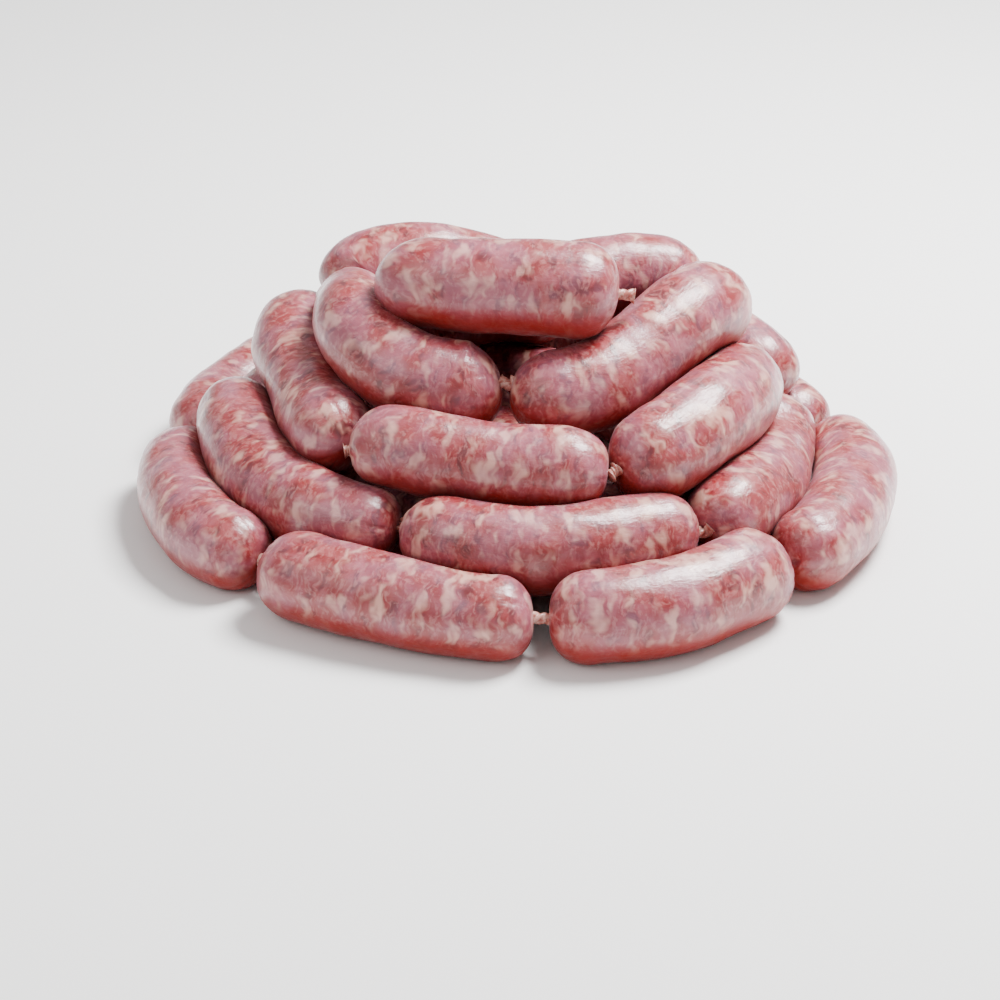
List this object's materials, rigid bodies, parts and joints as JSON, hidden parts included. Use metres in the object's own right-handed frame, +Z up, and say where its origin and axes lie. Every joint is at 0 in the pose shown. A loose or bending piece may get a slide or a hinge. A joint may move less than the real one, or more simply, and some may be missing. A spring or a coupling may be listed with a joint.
{
  "type": "string of sausage links",
  "caption": "Raw fresh sausages in natural casing, one unbroken string of plump curved links joined by twists and coiled into a domed heap",
  "frame": {"origin": "middle of the heap's footprint, on the surface that it lies on", "axes": "+Z up, the way the heap stands; -Y is the front, where two links of the lowest ring meet; +X is to the right"},
  "size_m": [0.2819, 0.2526, 0.1091],
  "materials": {
    "meat": "moist coarse-ground pork, mottled lean red and cream fat, seen through a thin translucent natural casing with a soft wet gloss",
    "casing": "empty natural casing twisted tight, pale pink, damp and translucent"
  },
  "bodies": {
    "root": {"link_base_1": "meat", "link_base_2": "meat", "link_base_3": "meat", "link_base_4": "meat", "link_base_5": "meat", "link_base_6": "meat", "link_base_7": "meat", "link_core_1": "meat", "link_core_2": "meat", "link_core_3": "meat", "link_core_4": "meat", "link_core_5": "meat", "link_fourth_1": "meat", "link_fourth_2": "meat", "link_fourth_3": "meat", "link_fourth_4": "meat", "link_second_1": "meat", "link_second_2": "meat", "link_second_3": "meat", "link_second_4": "meat", "link_second_5": "meat", "link_third_1": "meat", "link_third_2": "meat", "link_third_3": "meat", "link_third_4": "meat", "link_third_5": "meat", "link_top": "meat", "tail_end": "casing", "tail_start": "casing", "twist_01": "casing", "twist_02": "casing", "twist_03": "casing", "twist_04": "casing", "twist_05": "casing", "twist_06": "casing", "twist_07": "casing", "twist_08": "casing", "twist_09": "casing", "twist_10": "casing", "twist_11": "casing", "twist_12": "casing", "twist_13": "casing", "twist_14": "casing", "twist_15": "casing", "twist_16": "casing", "twist_17": "casing", "twist_18": "casing", "twist_19": "casing", "twist_20": "casing", "twist_21": "casing", "twist_22": "casing", "twist_23": "casing", "twist_24": "casing", "twist_25": "casing", "twist_26": "casing"}
  },
  "joints": []
}
